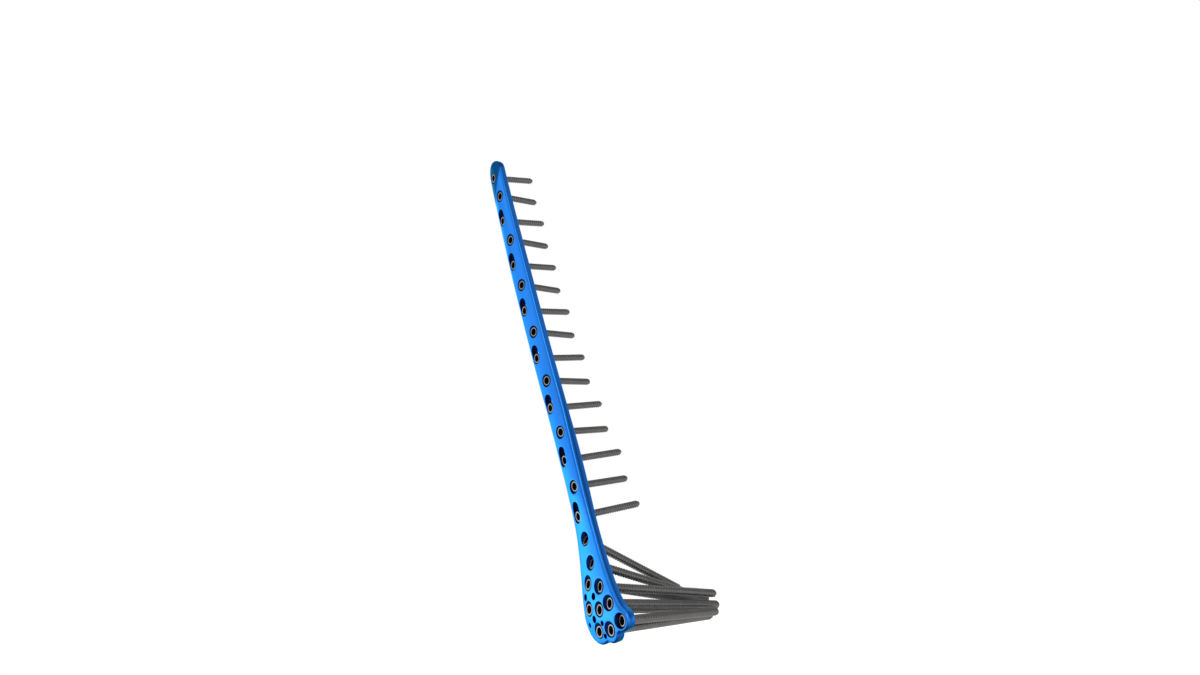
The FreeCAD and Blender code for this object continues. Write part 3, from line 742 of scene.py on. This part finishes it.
class Field:
    """A number socket of a node tree that is reckoned with as in an ordinary expression."""

    def __init__(self, tree, socket):
        self.tree = tree
        self.socket = socket

    def _maths(self, operation, *others, clamp=False):
        made = self.tree.nodes.new("ShaderNodeMath")
        made.operation = operation
        made.use_clamp = clamp
        for index, value in enumerate(others):
            value = value.socket if isinstance(value, Field) else value
            if isinstance(value, bpy.types.NodeSocket):
                self.tree.links.new(value, made.inputs[index])
            else:
                made.inputs[index].default_value = value
        return Field(self.tree, made.outputs[0])

    def __add__(self, other):
        return self._maths("ADD", self, other)

    def __radd__(self, other):
        return self._maths("ADD", other, self)

    def __sub__(self, other):
        return self._maths("SUBTRACT", self, other)

    def __rsub__(self, other):
        return self._maths("SUBTRACT", other, self)

    def __mul__(self, other):
        return self._maths("MULTIPLY", self, other)

    def __rmul__(self, other):
        return self._maths("MULTIPLY", other, self)

    def __truediv__(self, other):
        return self._maths("DIVIDE", self, other)

    def __rtruediv__(self, other):
        return self._maths("DIVIDE", other, self)

    def __neg__(self):
        return self._maths("MULTIPLY", self, -1.0)

    def __pow__(self, other):
        return self._maths("POWER", self, other)

    def apply(self, operation, *others):
        return self._maths(operation, self, *others)

    def clamped(self):
        return self._maths("ADD", self, 0.0, clamp=True)


def screw_tree():
    """The tree that turns a grid into a threaded shank with a rounded tip and joins the head to it."""
    tree = bpy.data.node_groups.new("locking_screw", "GeometryNodeTree")
    face = tree.interface
    face.new_socket("Geometry", in_out="OUTPUT", socket_type="NodeSocketGeometry")
    face.new_socket("Head", in_out="INPUT", socket_type="NodeSocketObject")
    face.new_socket("Material", in_out="INPUT", socket_type="NodeSocketMaterial")
    for name in ("Length", "Head Height", "Shank Radius", "Thread Pitch", "Thread Depth", "Tip Height"):
        face.new_socket(name, in_out="INPUT", socket_type="NodeSocketFloat")
    for name in ("Rows", "Around"):
        face.new_socket(name, in_out="INPUT", socket_type="NodeSocketInt")
    given = tree.nodes.new("NodeGroupInput").outputs
    grid = node(tree, "GeometryNodeMeshGrid", inputs={"Size X": 1.0, "Size Y": 1.0})
    tree.links.new(given["Rows"], grid.inputs["Vertices X"])
    tree.links.new(given["Around"], grid.inputs["Vertices Y"])

    position = node(tree, "GeometryNodeInputPosition").outputs[0]
    place = node(tree, "ShaderNodeSeparateXYZ", inputs={"Vector": position})
    share = Field(tree, place.outputs["X"]) + 0.5
    lap = Field(tree, place.outputs["Y"]) + 0.5
    length = Field(tree, given["Length"])
    head = Field(tree, given["Head Height"])
    shank = Field(tree, given["Shank Radius"])
    pitch = Field(tree, given["Thread Pitch"])
    depth = Field(tree, given["Thread Depth"])
    tip = Field(tree, given["Tip Height"])

    along = head + (length - head) * share
    wave = (along / pitch + lap).apply("FRACT")
    ridge = ((wave - 0.5).apply("ABSOLUTE") * 2.0 * THREAD_SLOPE - THREAD_CREST_OFFSET).clamped()
    runs_in = ((along - head) / (pitch * THREAD_RUN_IN)).clamped()
    groove = depth * (1.0 - ridge) * runs_in
    into_tip = ((along - (length - tip)) / tip).clamped()
    dome = (1.0 - into_tip * into_tip * TIP_DOME_SHARE).apply("SQRT")
    closed = 1.0 - (share - CLOSED_END_SHARE).apply("LESS_THAN", 0.0)
    closed_end = 1.0 - (share - (1.0 - CLOSED_END_SHARE)).apply("GREATER_THAN", 0.0)
    radius = (shank - groove) * dome * closed * closed_end
    angle = lap * (2 * math.pi)
    spot = node(tree, "ShaderNodeCombineXYZ")
    for axis, value in zip("XYZ", (radius * angle.apply("COSINE"), radius * angle.apply("SINE"), -along)):
        tree.links.new(value.socket, spot.inputs[axis])
    moved = node(tree, "GeometryNodeSetPosition", inputs={
        "Geometry": grid.outputs["Mesh"],
        "Position": spot.outputs[0],
    })
    sealed = node(tree, "GeometryNodeMergeByDistance", inputs={
        "Geometry": moved.outputs[0],
        "Distance": SEAM_DISTANCE * MM,
    })
    top = node(tree, "GeometryNodeObjectInfo", inputs={"Object": given["Head"]})
    joined = node(tree, "GeometryNodeJoinGeometry")
    tree.links.new(sealed.outputs[0], joined.inputs[0])
    tree.links.new(top.outputs["Geometry"], joined.inputs[0])
    solid = node(tree, "GeometryNodeRealizeInstances", inputs={"Geometry": joined.outputs[0]})
    painted = node(tree, "GeometryNodeSetMaterial", inputs={"Geometry": solid.outputs[0]})
    tree.links.new(given["Material"], painted.inputs["Material"])
    end = tree.nodes.new("NodeGroupOutput")
    tree.links.new(painted.outputs[0], end.inputs[0])
    return tree


def screw_mesh(tree, name, values):
    """The plain mesh that the tree gives for one screw."""
    carrier = bpy.data.objects.new(f"{name}_maker", bpy.data.meshes.new(f"{name}_maker"))
    bpy.context.scene.collection.objects.link(carrier)
    modifier = carrier.modifiers.new("screw", "NODES")
    modifier.node_group = tree
    for socket in tree.interface.items_tree:
        if socket.in_out == "INPUT":
            modifier[socket.identifier] = values[socket.name]
    evaluated = carrier.evaluated_get(bpy.context.evaluated_depsgraph_get())
    mesh = bpy.data.meshes.new_from_object(evaluated)
    mesh.name = name
    bpy.data.objects.remove(carrier)
    return mesh


def recalculated(mesh):
    whole = bmesh.new()
    whole.from_mesh(mesh)
    bmesh.ops.recalc_face_normals(whole, faces=whole.faces)
    for face in whole.faces:
        face.smooth = True
    whole.to_mesh(mesh)
    whole.free()
    return mesh


# Materials

class Finish:
    """A material whose nodes are made one by one and reckoned with as numbers."""

    def __init__(self, name, base, roughness, metallic, edge=(1.0, 1.0, 1.0)):
        self.material = bpy.data.materials.new(name)
        self.material.use_nodes = True
        self.tree = self.material.node_tree
        self.shader = self.tree.nodes["Principled BSDF"]
        self.shader.inputs["Base Color"].default_value = (*base, 1.0)
        self.shader.inputs["Roughness"].default_value = roughness
        self.shader.inputs["Metallic"].default_value = metallic
        self.shader.inputs["Specular Tint"].default_value = (*edge, 1.0)
        self.coordinates = self.tree.nodes.new("ShaderNodeTexCoord").outputs["Object"]

    def add(self, kind, settings=None, inputs=None, output=0):
        made = node(self.tree, kind, settings, {
            name: value.socket if isinstance(value, Field) else value
            for name, value in (inputs or {}).items()
        })
        return Field(self.tree, made.outputs[output])

    def noise(self, scale, detail=3.0, stretch=(1, 1, 1)):
        moved = self.add("ShaderNodeMapping", inputs={"Vector": self.coordinates, "Scale": stretch})
        return self.add("ShaderNodeTexNoise", inputs={"Vector": moved, "Scale": scale, "Detail": detail})

    def attribute(self, name):
        return self.add("ShaderNodeAttribute", {"attribute_name": name}, output=2)

    def mix(self, factor, first, second):
        """A colour between two others."""
        made = self.tree.nodes.new("ShaderNodeMix")
        made.data_type = "RGBA"
        for index, value in ((0, factor), (6, first), (7, second)):
            if isinstance(value, Field):
                self.tree.links.new(value.socket, made.inputs[index])
            elif index:
                made.inputs[index].default_value = (*value, 1.0)
            else:
                made.inputs[index].default_value = value
        return Field(self.tree, made.outputs[2])

    def feed(self, name, value):
        self.tree.links.new(value.socket, self.shader.inputs[name])

    def bump(self, height, distance, strength):
        made = self.add("ShaderNodeBump", inputs={
            "Height": height,
            "Distance": distance,
            "Strength": strength,
        })
        self.feed("Normal", made)


# Blue anodised titanium: plain colour, its cloudy range, the near black of its painted shade, and the grazing
# tint
BLUE = (0.029, 0.27, 0.97)
BLUE_RANGE = ((0.026, 0.25, 0.94), (0.032, 0.29, 1.0))
BLUE_PAINTED_SHADE = (0.002, 0.010, 0.055)
BLUE_GRAZING = (0.45, 0.85, 1.0)
BLUE_ROUGHNESS = 0.3
BLUE_ROUGHNESS_LEAST = 0.22
BLUE_GRAIN_ROUGHNESS = 0.06
BLUE_CLOUD_ROUGHNESS = 0.05
BLUE_TINT_ROUGHNESS = 0.1
BLUE_CLOUD_SCALE = 22.0
BLUE_GRAIN_SCALE = 5200.0
BLUE_GRAIN_HEIGHT = 0.000004
BLUE_GRAIN_STRENGTH = 0.35

# Turned grey titanium, with the same kinds of values
GREY = (0.31, 0.30, 0.29)
GREY_RANGE = ((0.25, 0.245, 0.24), (0.36, 0.35, 0.34))
GREY_PAINTED_SHADE = (0.012, 0.012, 0.014)
GREY_ROUGHNESS = 0.33
GREY_ROUGHNESS_LEAST = 0.28
GREY_GRAIN_ROUGHNESS = 0.12
GREY_TINT_ROUGHNESS = 0.12
GREY_GRAIN_SCALE = 2600.0
GREY_CLOUD_SCALE = 160.0
GREY_GRAIN_HEIGHT = 0.000005
GREY_GRAIN_STRENGTH = 0.4


def anodised_finish():
    blue = Finish("anodised_blue_titanium", BLUE, BLUE_ROUGHNESS, 1.0, BLUE_GRAZING)
    wall = blue.attribute("wall")
    cloud = blue.noise(BLUE_CLOUD_SCALE, 2.0)
    grain = blue.noise(BLUE_GRAIN_SCALE, 2.0)
    tone = blue.mix(cloud.clamped(), *BLUE_RANGE)
    # Painted shade: the blue deepens towards near black as far as the mesh's marks say
    blue.feed("Base Color", blue.mix(wall, tone, BLUE_PAINTED_SHADE))
    uneven = BLUE_ROUGHNESS_LEAST + grain * BLUE_GRAIN_ROUGHNESS + cloud * BLUE_CLOUD_ROUGHNESS
    blue.feed("Roughness", uneven + wall * BLUE_TINT_ROUGHNESS)
    blue.bump(grain, BLUE_GRAIN_HEIGHT, BLUE_GRAIN_STRENGTH)
    return blue.material


def screw_finish():
    metal = Finish("turned_grey_titanium", GREY, GREY_ROUGHNESS, 1.0)
    depth = metal.attribute("wall")
    grain = metal.noise(GREY_GRAIN_SCALE, 3.0)
    cloud = metal.noise(GREY_CLOUD_SCALE, 2.0)
    tone = metal.mix(cloud.clamped(), *GREY_RANGE)
    # Painted shade: the grey deepens towards near black as far as the mesh's marks say
    metal.feed("Base Color", metal.mix(depth, tone, GREY_PAINTED_SHADE))
    uneven = GREY_ROUGHNESS_LEAST + grain * GREY_GRAIN_ROUGHNESS
    metal.feed("Roughness", uneven + depth * GREY_TINT_ROUGHNESS)
    metal.bump(grain, GREY_GRAIN_HEIGHT, GREY_GRAIN_STRENGTH)
    return metal.material


# The pieces

def show(name, mesh, material, *stands_for, slot):
    piece = bpy.data.objects.new(name, mesh)
    bpy.context.scene.collection.objects.link(piece)
    mesh.materials.clear()
    mesh.materials.append(material)
    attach(piece, "root")
    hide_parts(*stands_for)
    return piece


show("contoured_plate", plate_mesh(), anodised_finish(), "bone_plate", slot="anodised_plate")

screw_metal = screw_finish()
head_piece = bpy.data.objects.new("screw_head", screw_head_mesh())
locking_screw = screw_tree()


def add_screw(name, point, axis, low, length, shank):
    across, up, outward = seat_axes(axis)
    rows = round((length - HEAD_HEIGHT) / (THREAD_PITCH / SHANK_ROWS_PER_PITCH))
    mesh = screw_mesh(locking_screw, f"{name}_threaded", {
        "Head": head_piece,
        "Material": screw_metal,
        "Length": length * MM,
        "Head Height": (HEAD_HEIGHT - SHANK_OVERLAP) * MM,
        "Shank Radius": shank * MM,
        "Thread Pitch": THREAD_PITCH * MM,
        "Thread Depth": THREAD_DEPTH * MM,
        "Tip Height": TIP_HEIGHT * MM,
        "Rows": rows,
        "Around": SHANK_POINTS_AROUND,
    })
    # Painted shade on the threaded shank below the head
    tints = mesh.attributes["wall"].data
    for vertex, tint in zip(mesh.vertices, tints):
        if vertex.co.z < -(HEAD_HEIGHT + SHANK_SHADE_START) * MM:
            tint.value = SHANK_SHADE
    top = (point - outward * low) * MM
    turn = Matrix(np.stack([across, up, outward], axis=1).tolist()).to_4x4()
    mesh.transform(Matrix.Translation(top.tolist()) @ turn)
    show(f"{name}_threaded", recalculated(mesh), screw_metal, name, slot="screw_metal")


for number, is_slot, point, axis, low in shaft_seats():
    length = SHAFT_SCREW_LENGTHS[number - 1]
    add_screw(f"shaft_screw_{number:02d}", point, axis, low, length, SHAFT_SHANK_RADIUS)
for name, point, axis, low, length in head_seats():
    add_screw(name, point, axis, low, length, HEAD_SHANK_RADIUS)
bpy.data.objects.remove(head_piece)

# Floor, studio light and camera

CAMERA_PLACE = (0.32062, -0.28142, -0.17057)
CAMERA_AHEAD = (-0.64684, 0.68176, 0.34177)
CAMERA_ROLL = -16.463
BACKDROP_EDGE = (0.45, 0.65)
FLOOR_HEIGHT = -0.31
FLOOR_SIZE = 6.0
FLOOR_COLOUR = (0.9, 0.9, 0.9)
FLOOR_ROUGHNESS = 0.8
FLOOR_GLOW = 0.55


def floor():
    half = FLOOR_SIZE / 2
    mesh = bpy.data.meshes.new("floor")
    corners = [(-half, -half), (half, -half), (half, half), (-half, half)]
    mesh.from_pydata([(x, y, FLOOR_HEIGHT) for x, y in corners], [], [(0, 1, 2, 3)])
    piece = bpy.data.objects.new("floor", mesh)
    bpy.context.scene.collection.objects.link(piece)
    pale = Finish("pale_floor", FLOOR_COLOUR, FLOOR_ROUGHNESS, 0.0)
    tree = pale.tree
    rays = tree.nodes.new("ShaderNodeLightPath").outputs
    seen = Field(tree, rays["Is Camera Ray"]).apply("MAXIMUM", rays["Is Glossy Ray"])
    seen = seen.apply("MAXIMUM", rays["Is Transmission Ray"])
    pale.shader.inputs["Emission Color"].default_value = (1.0, 1.0, 1.0, 1.0)
    glow = node(tree, "ShaderNodeEmission", inputs={"Strength": FLOOR_GLOW})
    both = node(tree, "ShaderNodeAddShader")
    tree.links.new(pale.shader.outputs[0], both.inputs[0])
    tree.links.new(glow.outputs[0], both.inputs[1])
    choice = node(tree, "ShaderNodeMixShader", inputs={"Fac": seen.socket})
    tree.links.new(pale.shader.outputs[0], choice.inputs[1])
    tree.links.new(both.outputs[0], choice.inputs[2])
    tree.links.new(choice.outputs[0], tree.nodes["Material Output"].inputs["Surface"])
    mesh.materials.append(pale.material)


floor()

scene = bpy.context.scene
world = bpy.data.worlds.new("studio")
scene.world = world
world.use_nodes = True
sky = world.node_tree
background = sky.nodes["Background"]
rays = sky.nodes.new("ShaderNodeLightPath").outputs
direction = sky.nodes.new("ShaderNodeTexCoord").outputs["Generated"]
towards_sky = node(sky, "ShaderNodeSeparateXYZ", inputs={"Vector": direction})
sky_x, sky_y, sky_z = (Field(sky, towards_sky.outputs[axis]) for axis in "XYZ")


def between(value, start, end):
    """A share that grows evenly from 0 at the start to 1 at the end, which may be the lower one."""
    return ((value - start) / (end - start)).clamped()


# The room is brighter towards -X, and dimmer in two patches that the plate's face reflects
ROOM_LEVEL = 0.81
ROOM_SLOPE = 0.39
ROOM_LEAST = 0.3
PATCH_DIMMING = 0.4

low_right = between(sky_z, 0.36, 0.24) * between(sky_x, -0.9, -0.7) * (1.0 - sky_x).clamped()
low_right = low_right * between(sky_z, 0.13, 0.18)
high_left = between(sky_z, 0.4, 0.52) * between(sky_x, -0.5, -0.7)
dimmed = (1.0 - low_right * PATCH_DIMMING) * (1.0 - high_left * PATCH_DIMMING)
room = (ROOM_LEVEL - sky_x * ROOM_SLOPE).apply("MAXIMUM", ROOM_LEAST) * dimmed
behind = sky_x * CAMERA_AHEAD[0] + sky_y * CAMERA_AHEAD[1] + sky_z * CAMERA_AHEAD[2]
backdrop = between(behind, *BACKDROP_EDGE)
shown = backdrop * Field(sky, rays["Is Glossy Ray"])
seen = Field(sky, rays["Is Camera Ray"]).apply("MAXIMUM", rays["Is Transmission Ray"]).apply("MAXIMUM", shown)
level = seen + (1.0 - seen) * room
background.inputs["Color"].default_value = (1.0, 1.0, 1.0, 1.0)
sky.links.new(level.socket, background.inputs["Strength"])


def soft_box(name, place, target, size, power):
    lamp = bpy.data.lights.new(name, "AREA")
    lamp.shape = "RECTANGLE"
    lamp.size, lamp.size_y = size
    lamp.energy = power
    holder = bpy.data.objects.new(name, lamp)
    holder.location = place
    holder.rotation_euler = (Vector(target) - Vector(place)).to_track_quat("-Z", "Y").to_euler()
    scene.collection.objects.link(holder)


# Place, target, size and power in watts
LAMPS = {
    "key_light": ((-0.86, -0.5, -0.04), (0.0, 0.0, -0.18), (0.9, 0.3), 1.0),
    "side_light": ((-0.9, 0.05, 0.42), (0.0, 0.0, 0.0), (0.25, 0.8), 0.8),
    "edge_light": ((0.85, -0.72, 0.2), (0.0, 0.0, -0.05), (0.5, 0.9), 3.0),
}
for lamp_name, (place, target, size, power) in LAMPS.items():
    soft_box(lamp_name, place, target, size, power)

SENSOR_WIDTH = 36.0
FOCAL_PIXELS = 669.42
PHOTO_WIDTH = 1200.0

camera = bpy.data.objects.new("camera", bpy.data.cameras.new("camera"))
scene.collection.objects.link(camera)
ahead = Vector(CAMERA_AHEAD).normalized()
level_right = ahead.cross(Vector((0, 0, 1))).normalized()
level_up = level_right.cross(ahead)
roll = math.radians(CAMERA_ROLL)
right = math.cos(roll) * level_right + math.sin(roll) * level_up
up = math.cos(roll) * level_up - math.sin(roll) * level_right
turn = Matrix((right, up, -ahead)).transposed().to_4x4()
camera.matrix_world = Matrix.Translation(CAMERA_PLACE) @ turn
camera.data.sensor_width = SENSOR_WIDTH
camera.data.lens = FOCAL_PIXELS * SENSOR_WIDTH / PHOTO_WIDTH
scene.camera = camera
scene.view_settings.view_transform = "Standard"
